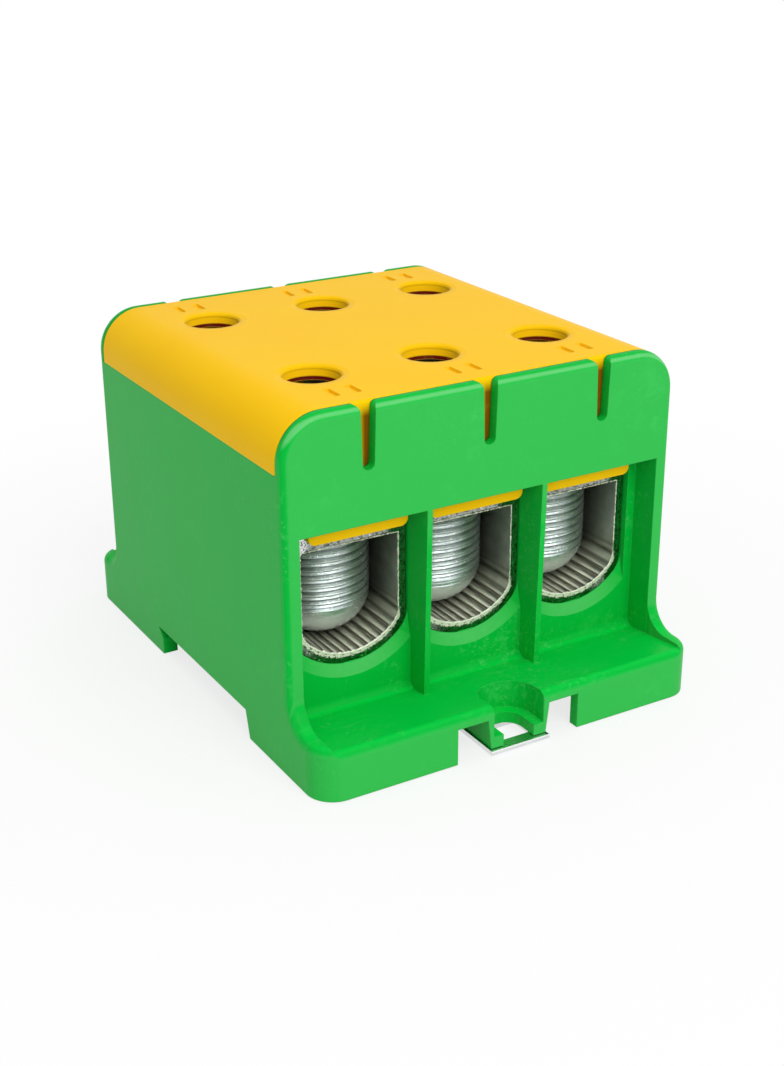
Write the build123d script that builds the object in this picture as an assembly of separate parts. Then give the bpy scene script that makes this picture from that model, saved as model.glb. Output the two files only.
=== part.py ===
from build123d import *
import math
import os

# Feed-through terminal block with three poles for a 35 mm mounting rail.
# Millimetres, +Z up. Conductors enter along Y, the rail runs along X, the rail latch is on
# the -Y side. The origin lies under the middle of the base.

# Overlaps of the modelling steps
OVER = 1.0  # cutters run this far past a face
ROOT = 0.5  # added walls reach this far into what carries them
LAP = 0.1  # small overlap

# Clamping screw, M18 x 1.5
SCREW_R = 9.0
SCREW_Y = 19.0  # screws each side of the middle
SCREW_LEN = 25.0
SCREW_FIT = 0.05  # radial fit in the threaded hole
SCREW_EDGE = 0.9  # chamfer round the top
DOME_R = 20.0  # middle of the tip
DOME_EDGE = 7.6  # rounding from the tip to the thread
TIP_GAP = 0.3  # tip over the bore floor
KEY_AF = 8.0
KEY_DEEP = 9.0
KEY_LEAD = 0.3  # lead-in beyond the corners of the socket
KEY_LEAD_DEEP = 0.7
POINT_EDGE = 0.4  # flat left round the drilled point
POINT_DEEP = 1.1

# Terminal body
BORE_ROOM = 0.1  # bore wider than the screw, each side
BORE_HALF = SCREW_R + BORE_ROOM
BORE_BOW = 2.4
BORE_R = BORE_HALF + BORE_BOW  # floor of the bore
BORE_CORNER = 3.5
BORE_RISE = 8.4  # roof of the bore over the arcs' centre
BORE_TOP_R = 1.2
BODY_SIDE = 1.4
BODY_FLOOR = 1.7
BODY_ROOF = 11.55
BODY_NOSE = 2.9  # metal between a threaded hole and the end face
BODY_EDGE = 0.6
BODY_SINK = 0.9  # countersink of the threaded holes
BODY_HALF = BORE_HALF + BODY_SIDE
BODY_R = BORE_R + BODY_FLOOR
BODY_CORNER_MORE = 1.0
BODY_CORNER = BORE_CORNER + BODY_CORNER_MORE
BODY_Y = SCREW_Y + SCREW_R + BODY_NOSE
GROOVE_DEEP = 0.4
GROOVE_WIDE = 0.7
GROOVE_FLAT = 0.3
GROOVE_STEP = 1.6

# Trough that carries a terminal body
BODY_FIT = 0.25
FLOOR_FIT = 0.1
CORNER_FIT = 0.3
BED_HALF = BODY_HALF + BODY_FIT
BED_R = BODY_R + FLOOR_FIT
BED_CORNER = BODY_CORNER + CORNER_FIT
TROUGH_RISE = 7.2  # lowest line of the trough over the apron's rear edge
TROUGH_FLOOR = 2.0
TROUGH_SIDE = 1.65  # outer trough wall inside the side wall
CORE_R = BED_R + TROUGH_FLOOR  # underside of the trough floor
LIP_DEPTH = 1.0
LIP_GROW = 2.0
SEAT_FLAT = 0.1  # the body's flat cuts this far into its round underside
SEAT_HALF = 1.55

# Poles
PART_T = 1.0  # partition between the poles
PART_FOOT_T = 1.6  # partition below the troughs
PART_LEAN = 0.9  # foot of a partition's front edge behind the panel's face
PITCH = 2 * BED_HALF + PART_T
POLE_X = [-PITCH, 0.0, PITCH]

# Housing across and along
WALL = 2.8  # side wall
HALF_W = PITCH + BED_HALF + TROUGH_SIDE + WALL
BODY_INSET = 1.1  # body end behind the recess wall's face
RECESS_Y = BODY_Y + BODY_INSET  # recess wall front face
RECESS_T = 2.0
RECESS_R = 1.5  # rounding where the apron meets the recess wall
TONGUE_GAP = 0.4
TONGUE_T = 2.7
TONGUE_BACK = BODY_Y + TONGUE_GAP
TONGUE_Y = TONGUE_BACK + TONGUE_T
PANEL_ROOM = 1.4  # tongue to panel
PANEL_T = 2.0
PANEL_Y = TONGUE_Y + PANEL_ROOM + PANEL_T  # outer face of the front and back panels
APRON_OUT = 10.3
APRON_Y = PANEL_Y + APRON_OUT
SKIRT_T = 2.0
SWEEP_R = 5.0  # sweep of the side wall from panel to apron
CORNER_R = 4.9  # apron corner in plan
EDGE_R = 1.5  # rounding along the outer edges

# Heights from the base up
APRON_LOW = 6.55  # underside of the apron plate
APRON_REAR = 7.3  # apron top at the recess wall
APRON_FRONT = 8.8  # apron top at the front
LEVEL_Z = 9.2  # side wall beside the apron
BED_Z = APRON_REAR + TROUGH_RISE + BED_R  # centre of the bottom arcs
SEAT_Z = BED_Z - BODY_R + SEAT_FLAT
SCREW_TIP = BED_Z - BORE_R + TIP_GAP
BORE_TOP = BED_Z + BORE_RISE
BODY_TOP = BORE_TOP + BODY_ROOF
TONGUE_LIFT = 2.1
TONGUE_SHOW = 3.2
TONGUE_LOW = BORE_TOP + TONGUE_LIFT
PANEL_LOW = TONGUE_LOW + TONGUE_SHOW
COVER_T = 2.5
HEAD_ROOM = 10.95  # over the bodies, for the screws when they are open
TOP_Z = BODY_TOP + HEAD_ROOM + COVER_T
ARCH_R = 7.6  # upper long corners
SEAM_DROP = 1.8  # straight side of the cover under its arch
SEAM_Z = TOP_Z - ARCH_R - SEAM_DROP
PART_GAP = 0.2
PART_TOP = TOP_Z - COVER_T - PART_GAP

# Slots in the panels
SLOT_TOP = 2.74
SLOT_LOW = 2.1
SLOT_DEEP = 10.65
SLOT_FLAT = 0.05
SLOT_R = SLOT_LOW / 2 - SLOT_FLAT

# Cover
COVER_FIT = 0.1
COVER_Y = PANEL_Y - PANEL_T - COVER_FIT
COVER_EDGE = 0.6
HOLE_R = 4.8
HOLE_EDGE = 0.5
BAR_X = 1.95
BAR_IN = 6.1
BAR_Y = COVER_Y - BAR_IN
BAR_WIDE = 1.2
BAR_LONG = 3.9
BAR_DEEP = 0.5
TONGUE_R = 1.3
END_DROP = 2.2
END_LOW = SEAM_Z - END_DROP
TAB_STEP = 22.0
TAB_Y = [-TAB_STEP, 0.0, TAB_STEP]
TAB_LONG = 12.0
TAB_T = 1.4
TAB_FIT = 0.1
TAB_OUT = HALF_W - WALL - TAB_FIT
TAB_IN = TAB_OUT - TAB_T
TAB_DROP = 6.6
TAB_LOW = SEAM_Z - TAB_DROP
LEDGE_GAP = 0.7
LEDGE_Z = TAB_LOW - LEDGE_GAP  # top of the outer trough walls
BEAD_DROP = 3.8
BEAD_Z = SEAM_Z - BEAD_DROP
BEAD_R = 0.7
BEAD_FIT = 0.12
BEAD_END = 0.3
HOLD_T = 2.0
HOLD_HALF = 8.0

# Underside: rail notch, feet, fixing pockets
RAIL_Z = 5.0
FOOT_FRONT = 22.35
FOOT_SEAT = 21.0
HOOK_Y = 14.5
HOOK_LOW = 3.07
HOOK_BACK = 16.3
CUT_HALF = 12.1
POCKET_IN = 3.5
POCKET_Y = APRON_Y - POCKET_IN
POCKET_R = 5.0
POCKET_LOW_WALL = 0.5
POCKET_TOP_WALL = 1.2
POCKET_REAR_WALL = 0.7
POCKET_BACK = POCKET_Y - POCKET_R - POCKET_REAR_WALL
POCKET_Z = 1.05
POCKET_FLOOR = 3.1
FIX_R = 3.05

# Rail latch
LATCH_HALF = 5.8
LATCH_T = 0.8
LATCH_LOW = 0.1
LATCH_HIGH = 2.9
LATCH_TIP = 17.2
LATCH_CHAMFER = 0.5
LATCH_BEND = 0.4
LATCH_ROUND = 0.3
LATCH_GAP = 0.1
LATCH_SIDE = 0.3
PULL_OUT = 0.8  # pull bar in front of the apron
LATCH_FRONT = APRON_Y + PULL_OUT
WINDOW_HALF = 3.6
WINDOW_RIM = 2.5
WINDOW_LONG = 5.0
WINDOW_R = 0.8
WINDOW_FRONT = LATCH_FRONT - WINDOW_RIM
WINDOW_BACK = WINDOW_FRONT - WINDOW_LONG
GUIDE_IN = LATCH_HALF + LATCH_SIDE
GUIDE_T = 1.2
GUIDE_OUT = GUIDE_IN + GUIDE_T
GUIDE_LEAD = 0.3
GUIDE_LONG = 7.6
GUIDE_RISE = 2.5
GUIDE_FRONT = RECESS_Y - RECESS_T + GUIDE_LEAD
GUIDE_BACK = GUIDE_FRONT - GUIDE_LONG
GUIDE_TOP = BED_Z - CORE_R + GUIDE_RISE
LEDGE_GRIP = 0.9
LEDGE_IN = LATCH_HALF - LEDGE_GRIP
LEDGE_T = 1.0
EAR_OUT = 1.4
EAR_LONG = 1.4
EAR_HALF = LATCH_HALF + EAR_OUT
EAR_BACK = GUIDE_FRONT + LATCH_GAP
EAR_FRONT = EAR_BACK + EAR_LONG
PASS_HALF = EAR_HALF + LATCH_SIDE
RAMP_GAP = 0.8
RAMP_LONG = 2.6
RAMP_BACK = EAR_FRONT + RAMP_GAP
RAMP_FRONT = RAMP_BACK + RAMP_LONG
COIL_LONG = 8.4
LUG_FRONT = RECESS_Y - RECESS_T - COIL_LONG
LUG_HALF = 2.6
LUG_TOP = 9.3
LUG_ROUND = 1.2
LANCE_LONG = 5.4

# Latch spring
COIL_R = 1.95
WIRE_R = 0.25
COIL_FIT = 0.05
COIL_TURNS = 6
COIL_Z = 6.6
BOSS_R = 1.2
BOSS_LONG = 2.0


def outline(corners):
    """Closed face from corners (u, v, r); r rounds that corner."""
    count = len(corners)
    runs = []
    for i in range(count):
        here = Vector(*corners[i][:2])
        back = (Vector(*corners[i - 1][:2]) - here).normalized()
        ahead = (Vector(*corners[(i + 1) % count][:2]) - here).normalized()
        r = corners[i][2]
        if r == 0:
            runs.append((here, None, here))
            continue
        half = math.acos(back.dot(ahead)) / 2
        middle = (back + ahead).normalized()
        bulge = here + middle * (r / math.sin(half) - r)
        reach = r / math.tan(half)
        runs.append((here + back * reach, bulge, here + ahead * reach))
    edges = []
    for i, (start, bulge, end) in enumerate(runs):
        if bulge is not None:
            edges.append(ThreePointArc(start, bulge, end).edge())
        after = runs[(i + 1) % count][0]
        if (after - end).length > 1e-4:
            edges.append(Line(end, after).edge())
    return Face(Wire(edges))


def trough(half, radius, corner, top):
    """Face with upright sides and a bottom arc, the corners tangent to both."""
    x = half - corner
    z = BED_Z - math.sqrt((radius - corner) ** 2 - x**2)
    reach = Vector(x, z - BED_Z).normalized()
    low = Vector(0, BED_Z) + reach * radius
    lean = math.atan2(reach.Y, reach.X) / 2
    mid = Vector(x + corner * math.cos(lean), z + corner * math.sin(lean))
    edges = [
        Line((-half, top), (-half, z)).edge(),
        ThreePointArc((-half, z), (-mid.X, mid.Y), (-low.X, low.Y)).edge(),
        ThreePointArc((-low.X, low.Y), (0, BED_Z - radius), (low.X, low.Y)).edge(),
        ThreePointArc((low.X, low.Y), (mid.X, mid.Y), (half, z)).edge(),
        Line((half, z), (half, top)).edge(),
        Line((half, top), (-half, top)).edge(),
    ]
    return Face(Wire(edges))


def along_x(face, x0, x1):
    """Prism from x0 to x1; the face is drawn as (y, z)."""
    return extrude(Plane.YZ.offset(x0) * face, x1 - x0, dir=(1, 0, 0))


def along_y(face, y0, y1):
    """Prism from y0 to y1; the face is drawn as (x, z)."""
    return extrude(Plane.XZ.offset(-y0) * face, y1 - y0, dir=(0, 1, 0))


def block(x0, x1, y0, y1, z0, z1):
    """Box from its six faces."""
    return Pos((x0 + x1) / 2, (y0 + y1) / 2, (z0 + z1) / 2) * Box(x1 - x0, y1 - y0, z1 - z0)


def both_ends(shape):
    """The shape with its mirror image at the other end of the block."""
    return [shape, mirror(shape, Plane.XZ)]


def pole_span(x, half):
    """Extent in x of a pole's space; the outer poles reach to the side walls."""
    inner = HALF_W - WALL
    low = -inner if x < 0 else x - half
    high = inner if x > 0 else x + half
    return low, high


def shell_block():
    """The solid outline of the housing with its continuous edge rounding."""
    side = outline(
        [
            (-APRON_Y, 0, 0),
            (APRON_Y, 0, 0),
            (APRON_Y, LEVEL_Z, 0),
            (PANEL_Y, LEVEL_Z, SWEEP_R),
            (PANEL_Y, TOP_Z, 0),
            (-PANEL_Y, TOP_Z, 0),
            (-PANEL_Y, LEVEL_Z, SWEEP_R),
            (-APRON_Y, LEVEL_Z, 0),
        ]
    )
    arch = outline(
        [(-HALF_W, 0, 0), (HALF_W, 0, 0), (HALF_W, TOP_Z, ARCH_R), (-HALF_W, TOP_Z, ARCH_R)]
    )
    body = along_x(side, -HALF_W, HALF_W) & along_y(arch, -APRON_Y - OVER, APRON_Y + OVER)
    corners = [e for e in body.edges().filter_by(Axis.Z) if abs(abs(e.center().Y) - APRON_Y) < 0.01]
    body = fillet(corners, CORNER_R)
    fronts = [
        e
        for e in body.edges().filter_by(Axis.X)
        if abs(abs(e.center().Y) - APRON_Y) < 0.01 and e.center().Z > 1
    ]
    return fillet(fronts, EDGE_R)


def recess():
    """Open space over the front apron: a prism for each pole and one before the partitions."""
    profile = outline(
        [
            (-APRON_Y - OVER, PANEL_LOW, 0),
            (-APRON_Y - OVER, APRON_LOW, 0),
            (-APRON_Y, APRON_LOW, 0),
            (-APRON_Y, APRON_FRONT, EDGE_R),
            (-RECESS_Y, APRON_REAR, RECESS_R),
            (-RECESS_Y, PANEL_LOW, 0),
        ]
    )
    inner = HALF_W - WALL
    foot = PANEL_Y - PART_LEAN
    share = (foot - RECESS_Y) / (APRON_Y - RECESS_Y)
    before = outline(
        [
            (-APRON_Y - OVER, PANEL_LOW, 0),
            (-APRON_Y - OVER, APRON_LOW, 0),
            (-APRON_Y, APRON_LOW, 0),
            (-APRON_Y, APRON_FRONT, EDGE_R),
            (-foot, APRON_REAR + share * (APRON_FRONT - APRON_REAR), 0),
            (-PANEL_Y, PANEL_LOW, 0),
        ]
    )
    spaces = [along_x(profile, *pole_span(x, BED_HALF)) for x in POLE_X]
    return spaces + [along_x(before, -inner, inner)]


def lip(x):
    """Flared mouth of a trough at the front."""
    grow = LIP_GROW
    outer = trough(BED_HALF + grow, BED_R + grow, BED_CORNER + grow, BED_Z)
    inner = trough(BED_HALF, BED_R, BED_CORNER, BED_Z)
    flare = loft(
        [
            Plane.XZ.offset(RECESS_Y) * outer,
            Plane.XZ.offset(RECESS_Y - LIP_DEPTH) * inner,
        ],
        ruled=True,
    )
    keep = block(-BED_HALF, BED_HALF, -RECESS_Y - OVER, 0, 0, BED_Z + OVER)
    return Pos(x, 0, 0) * (flare & keep)


def slot(x):
    """Rounded slot from the top edge down through the front panel."""
    top = SLOT_TOP / 2
    low = SLOT_LOW / 2
    foot = TOP_Z - SLOT_DEEP
    face = outline(
        [
            (-top - 2 * SLOT_R, TOP_Z + OVER, 0),
            (-top - 2 * SLOT_R, TOP_Z, 0),
            (-top, TOP_Z, SLOT_R),
            (-low, foot, SLOT_R),
            (low, foot, SLOT_R),
            (top, TOP_Z, SLOT_R),
            (top + 2 * SLOT_R, TOP_Z, 0),
            (top + 2 * SLOT_R, TOP_Z + OVER, 0),
        ]
    )
    return Pos(x, 0, 0) * along_y(face, -PANEL_Y - OVER, -PANEL_Y + PANEL_T + LAP)


def core(x):
    """Hollow under a trough floor, between partition and side wall."""
    low, high = pole_span(x, BED_HALF + PART_T / 2 - PART_FOOT_T / 2)
    reach = RECESS_Y - RECESS_T
    room = block(low, high, -reach, reach, -OVER, BED_Z)
    drum = Pos(x, 0, BED_Z) * Rot(90, 0, 0) * Cylinder(CORE_R, 2 * RECESS_Y)
    return room - drum


def pocket():
    """Fixing pocket at the middle of the front apron: cup and its cut-outs."""
    low = Rectangle(2 * (POCKET_R + POCKET_LOW_WALL), APRON_Y - POCKET_BACK)
    top = Rectangle(2 * (POCKET_R + POCKET_TOP_WALL), APRON_Y - POCKET_BACK)
    y = -(APRON_Y + POCKET_BACK) / 2
    cup = loft([Pos(0, y, POCKET_Z) * low, Pos(0, y, APRON_LOW + ROOT) * top])
    high = LEVEL_Z + OVER
    front = -APRON_Y - OVER
    well = Pos(0, -POCKET_Y, (POCKET_FLOOR + high) / 2) * Cylinder(POCKET_R, high - POCKET_FLOOR)
    well += block(-POCKET_R, POCKET_R, front, -POCKET_Y, POCKET_FLOOR, high)
    slot_hole = Pos(0, -POCKET_Y, 0) * Cylinder(FIX_R, 2 * high)
    slot_hole += block(-FIX_R, FIX_R, front, -POCKET_Y, -OVER, high)
    return cup, [well, slot_hole]


def rail_notch():
    """Seat for the rail between the front foot and the hooked back foot."""
    lean = (FOOT_FRONT - FOOT_SEAT) / RAIL_Z
    face = outline(
        [
            (-FOOT_FRONT - lean * OVER, -OVER, 0),
            (-FOOT_SEAT, RAIL_Z, 0),
            (HOOK_BACK, RAIL_Z, 0),
            (HOOK_Y, HOOK_LOW, 0),
            (HOOK_Y, -OVER, 0),
        ]
    )
    return along_x(face, -HALF_W - OVER, HALF_W + OVER)


def housing():
    """Moulded base housing with panels, partitions, troughs, aprons and feet."""
    inner = HALF_W - WALL
    side = HALF_W + OVER
    span = PANEL_Y - PANEL_T
    over = TOP_Z + OVER
    body = shell_block()
    cuts = [block(-side, side, -span, span, SEAM_Z, over)]
    for x in POLE_X:
        low, high = pole_span(x, BED_HALF)
        cuts.append(block(low, high, -span, span, LEDGE_Z, over))
        cuts += both_ends(block(low, high, -span, -RECESS_Y, PANEL_LOW - OVER, over))
        bed = trough(BED_HALF, BED_R, BED_CORNER, over)
        cuts.append(Pos(x, 0, 0) * along_y(bed, -RECESS_Y - ROOT, RECESS_Y + ROOT))
        cuts += both_ends(lip(x))
        cuts += both_ends(slot(x))
        cuts.append(core(x))
    for opening in recess():
        cuts += both_ends(opening)
    under = block(-inner, inner, -APRON_Y + SKIRT_T, -RECESS_Y, -OVER, APRON_LOW)
    cuts += both_ends(under)
    front = -APRON_Y + SKIRT_T + OVER
    cuts += both_ends(block(-CUT_HALF, CUT_HALF, -APRON_Y - OVER, front, -OVER, APRON_LOW))
    wall_y = RECESS_Y - RECESS_T
    high = LATCH_HIGH + LATCH_T + LATCH_GAP
    cuts.append(block(-PASS_HALF, PASS_HALF, -RECESS_Y - OVER, -wall_y + OVER, -OVER, high))
    cuts.append(block(-side, side, -span, span, PART_TOP, over))
    for sign in (-1, 1):
        for y in TAB_Y:
            groove = Rot(90, 0, 0) * Cylinder(BEAD_R + BEAD_FIT, TAB_LONG + 2 * BEAD_END)
            cuts.append(Pos(sign * TAB_OUT, y, BEAD_Z) * groove)
    body = body - cuts

    adds = []
    for x in POLE_X:
        ends = RECESS_Y - LIP_DEPTH
        adds.append(block(x - SEAT_HALF, x + SEAT_HALF, -ends, ends, SEAT_Z - OVER, SEAT_Z))
    low = LATCH_HIGH - LATCH_GAP - LEDGE_T
    for sign in (-1, 1):
        xs = sorted([sign * GUIDE_IN, sign * GUIDE_OUT])
        adds.append(block(*xs, -GUIDE_FRONT, -GUIDE_BACK, low, GUIDE_TOP))
        xs = sorted([sign * LEDGE_IN, sign * GUIDE_OUT])
        adds.append(block(*xs, -GUIDE_FRONT, -GUIDE_BACK, low, low + LEDGE_T))
    boss = Rot(90, 0, 0) * Cylinder(BOSS_R, BOSS_LONG + LAP)
    adds.append(Pos(0, -wall_y + (BOSS_LONG - LAP) / 2, COIL_Z) * boss)
    cup, hollows = pocket()
    adds += both_ends(cup)
    body = body + adds
    cuts = [rail_notch()]
    for hollow in hollows:
        cuts += both_ends(hollow)
    return body - cuts


def cover():
    """Moulded cover with tongues over the conductor mouths and snap tabs inside."""
    outer = outline(
        [
            (-HALF_W, SEAM_Z, 0),
            (HALF_W, SEAM_Z, 0),
            (HALF_W, TOP_Z, ARCH_R),
            (-HALF_W, TOP_Z, ARCH_R),
        ]
    )
    shell = along_y(outer, -COVER_Y, COVER_Y)
    ends = [
        e
        for e in shell.edges()
        if abs(abs(e.center().Y) - COVER_Y) < 0.01 and e.center().Z > SEAM_Z + 0.1
    ]
    shell = fillet(ends, COVER_EDGE)
    half = HALF_W - COVER_T
    top = TOP_Z - COVER_T
    inner = outline(
        [
            (-half, SEAM_Z - OVER, 0),
            (half, SEAM_Z - OVER, 0),
            (half, top, ARCH_R - COVER_T),
            (-half, top, ARCH_R - COVER_T),
        ]
    )
    shell -= along_y(inner, -COVER_Y - OVER, COVER_Y + OVER)

    adds = []
    root = top + ROOT
    tongue = outline(
        [
            (-BORE_HALF, root, 0),
            (-BORE_HALF, TONGUE_LOW, TONGUE_R),
            (BORE_HALF, TONGUE_LOW, TONGUE_R),
            (BORE_HALF, root, 0),
        ]
    )
    for x in POLE_X:
        hang = Pos(x, 0, 0) * along_y(tongue, -TONGUE_Y, -TONGUE_BACK)
        adds += both_ends(hang)
        end = block(x - BORE_HALF, x + BORE_HALF, -COVER_Y, -TONGUE_Y, END_LOW, root)
        adds += both_ends(end)
        adds.append(block(x - HOLD_HALF, x + HOLD_HALF, -HOLD_T / 2, HOLD_T / 2, BODY_TOP, root))
    for sign in (-1, 1):
        for y in TAB_Y:
            ys = (y - TAB_LONG / 2, y + TAB_LONG / 2)
            xs = sorted([sign * TAB_IN, sign * TAB_OUT])
            adds.append(block(*xs, *ys, TAB_LOW, root))
            xs = sorted([sign * TAB_IN, sign * (half + ROOT)])
            adds.append(block(*xs, *ys, SEAM_Z, top - OVER))
            bead = Rot(90, 0, 0) * Cylinder(BEAD_R, TAB_LONG)
            adds.append(Pos(sign * TAB_OUT, y, BEAD_Z) * bead)
    shell = shell + adds

    cuts = []
    for x in POLE_X:
        for y in (-SCREW_Y, SCREW_Y):
            cuts.append(Pos(x, y, TOP_Z) * Cylinder(HOLE_R, 2 * (COVER_T + OVER)))
        for y in (-BAR_Y, BAR_Y):
            for dx in (-BAR_X, BAR_X):
                bar = Box(BAR_WIDE, BAR_LONG, 2 * BAR_DEEP)
                cuts.append(Pos(x + dx, y, TOP_Z) * bar)
    shell = shell - cuts
    rims = [
        e
        for e in shell.edges().filter_by(GeomType.CIRCLE)
        if abs(e.radius - HOLE_R) < 0.01 and abs(e.center().Z - TOP_Z) < 0.01
    ]
    return fillet(rims, HOLE_EDGE)


def grooves():
    """Tools for the lengthwise serrations of the bore floor and of its two upper corners."""
    x = BORE_HALF - BORE_CORNER
    z = BED_Z - math.sqrt((BORE_R - BORE_CORNER) ** 2 - x**2)
    turn = math.atan2(x, BED_Z - z)
    count = int(BORE_R * turn / GROOVE_STEP)
    angles = [i * GROOVE_STEP / BORE_R for i in range(-count, count + 1)]
    spots = [(BORE_R * math.sin(a), BED_Z - BORE_R * math.cos(a), math.degrees(a)) for a in angles]
    spots += [(-BORE_HALF, z, -90), (BORE_HALF, z, 90)]
    wide = GROOVE_WIDE / 2
    flat = GROOVE_FLAT / 2
    tooth = Polygon((-wide, LAP), (wide, LAP), (flat, -GROOVE_DEEP), (-flat, -GROOVE_DEEP), align=None)
    shapes = [Pos(u, v) * Rot(0, 0, a) * tooth for u, v, a in spots]
    return [along_y(shape.face(), -BODY_Y - OVER, BODY_Y + OVER) for shape in shapes]


def terminal_body():
    """Through-bored clamping body with two threaded holes in its roof."""
    ends = BODY_Y + OVER
    body = along_y(trough(BODY_HALF, BODY_R, BODY_CORNER, BODY_TOP), -BODY_Y, BODY_Y)
    uprights = [e for e in body.edges().filter_by(Axis.Y) if e.center().Z > BODY_TOP - LAP]
    body = chamfer(uprights, BODY_EDGE)
    bore = along_y(trough(BORE_HALF, BORE_R, BORE_CORNER, BORE_TOP), -ends, ends)
    roof = [e for e in bore.edges().filter_by(Axis.Y) if e.center().Z > BORE_TOP - LAP]
    bore = fillet(roof, BORE_TOP_R)
    cuts = [bore, block(-BODY_HALF, BODY_HALF, -ends, ends, 0, SEAT_Z)] + grooves()
    low = BORE_TOP - 2 * BORE_TOP_R
    high = BODY_TOP + OVER
    hole = Pos(0, 0, (low + high) / 2) * Cylinder(SCREW_R + SCREW_FIT, high - low)
    sink = Cone(SCREW_R, SCREW_R + BODY_SINK + LAP, BODY_SINK + LAP)
    sink = Pos(0, 0, BODY_TOP + (LAP - BODY_SINK) / 2) * sink
    for y in (-SCREW_Y, SCREW_Y):
        cuts += [Pos(0, y, 0) * hole, Pos(0, y, 0) * sink]
    return body - cuts


def screw():
    """Headless clamping screw with a domed tip and a hexagon socket; tip at z = 0."""
    radius = SCREW_R
    u = radius - DOME_EDGE
    v = DOME_R - math.sqrt((DOME_R - DOME_EDGE) ** 2 - u**2)
    turn = math.atan2(u, DOME_R - v)
    meet = (DOME_R * math.sin(turn), DOME_R - DOME_R * math.cos(turn))
    inside = (DOME_R * math.sin(turn / 2), DOME_R - DOME_R * math.cos(turn / 2))
    half = (turn + math.pi / 2) / 2
    bulge = (u + DOME_EDGE * math.sin(half), v - DOME_EDGE * math.cos(half))
    edges = [
        ThreePointArc((0, 0), inside, meet).edge(),
        ThreePointArc(meet, bulge, (radius, v)).edge(),
        Line((radius, v), (radius, SCREW_LEN - SCREW_EDGE)).edge(),
        Line((radius, SCREW_LEN - SCREW_EDGE), (radius - SCREW_EDGE, SCREW_LEN)).edge(),
        Line((radius - SCREW_EDGE, SCREW_LEN), (0, SCREW_LEN)).edge(),
        Line((0, SCREW_LEN), (0, 0)).edge(),
    ]
    shape = revolve(Plane.XZ * Face(Wire(edges)), Axis.Z)
    key = extrude(RegularPolygon(KEY_AF / 2, 6, major_radius=False), -KEY_DEEP)
    shape -= Pos(0, 0, SCREW_LEN) * key
    across = KEY_AF / math.sqrt(3) + KEY_LEAD
    lead = Cone(across - KEY_LEAD_DEEP - LAP, across, KEY_LEAD_DEEP + LAP)
    shape -= Pos(0, 0, SCREW_LEN + (LAP - KEY_LEAD_DEEP) / 2) * lead
    point = Cone(POINT_EDGE, KEY_AF / 2 - POINT_EDGE, POINT_DEEP + LAP)
    return shape - Pos(0, 0, SCREW_LEN - KEY_DEEP + (LAP - POINT_DEEP) / 2) * point


def latch():
    """Sheet-steel rail latch: pull bar, window, ramp, stop ears, upturned lug and tip."""
    low = LATCH_LOW
    high = LATCH_HIGH
    t = LATCH_T
    profile = outline(
        [
            (-LATCH_FRONT, low, LATCH_ROUND),
            (-RAMP_FRONT, low, LATCH_BEND + t),
            (-RAMP_BACK, high, LATCH_BEND),
            (-LATCH_TIP - LATCH_CHAMFER, high, 0),
            (-LATCH_TIP, high + LATCH_CHAMFER, 0),
            (-LATCH_TIP, high + t, 0),
            (-RAMP_BACK, high + t, LATCH_BEND + t),
            (-RAMP_FRONT, low + t, LATCH_BEND),
            (-LATCH_FRONT, low + t, LATCH_ROUND),
        ]
    )
    plate = along_x(profile, -LATCH_HALF, LATCH_HALF)
    ears = block(-EAR_HALF, EAR_HALF, -EAR_FRONT, -EAR_BACK, high, high + t)
    lug = block(-LUG_HALF, LUG_HALF, -LUG_FRONT, -LUG_FRONT + t, high, LUG_TOP)
    tops = [e for e in lug.edges().filter_by(Axis.Y) if e.center().Z > LUG_TOP - LAP]
    lug = fillet(tops, LUG_ROUND)
    plate = plate + [ears, lug]
    window = block(-WINDOW_HALF, WINDOW_HALF, -WINDOW_FRONT, -WINDOW_BACK, -OVER, high)
    window = fillet(window.edges().filter_by(Axis.Z), WINDOW_R)
    ahead = -LUG_FRONT - LANCE_LONG
    lance = block(-LUG_HALF, LUG_HALF, ahead, -LUG_FRONT, high - OVER, high + t + LAP)
    return plate - [window, lance]


def spring():
    """Compression spring between the housing wall and the latch lug, axis along Y."""
    start = -(RECESS_Y - RECESS_T) + WIRE_R + COIL_FIT
    end = -LUG_FRONT - WIRE_R - COIL_FIT
    length = end - start
    path = Helix(length / COIL_TURNS, length, COIL_R)
    wire = Plane(path @ 0, z_dir=path % 0) * Circle(WIRE_R)
    coil = sweep(wire, path=path)
    return Pos(0, start, COIL_Z) * Rot(-90, 0, 0) * coil


def save(shape, name):
    """Writes one solid under its node name."""
    solids = shape.solids()
    if len(solids) != 1:
        raise ValueError(f"{name} has {len(solids)} solids")
    solid = solids[0]
    solid.label = name
    export_step(solid, f"parts/{name}.step")


os.makedirs("parts", exist_ok=True)
save(housing(), "base_housing")
save(cover(), "top_cover")
BODY = terminal_body()
SCREW = screw()
for number, pole in enumerate(POLE_X, start=1):
    save(Pos(pole, 0, 0) * BODY, f"terminal_body_{number}")
    save(Pos(pole, -SCREW_Y, SCREW_TIP) * SCREW, f"clamp_screw_front_{number}")
    save(Pos(pole, SCREW_Y, SCREW_TIP) * SCREW, f"clamp_screw_back_{number}")
save(latch(), "rail_latch")
save(spring(), "latch_spring")
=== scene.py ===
import math
import random

import bpy
from mathutils import Matrix, Vector


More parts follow.
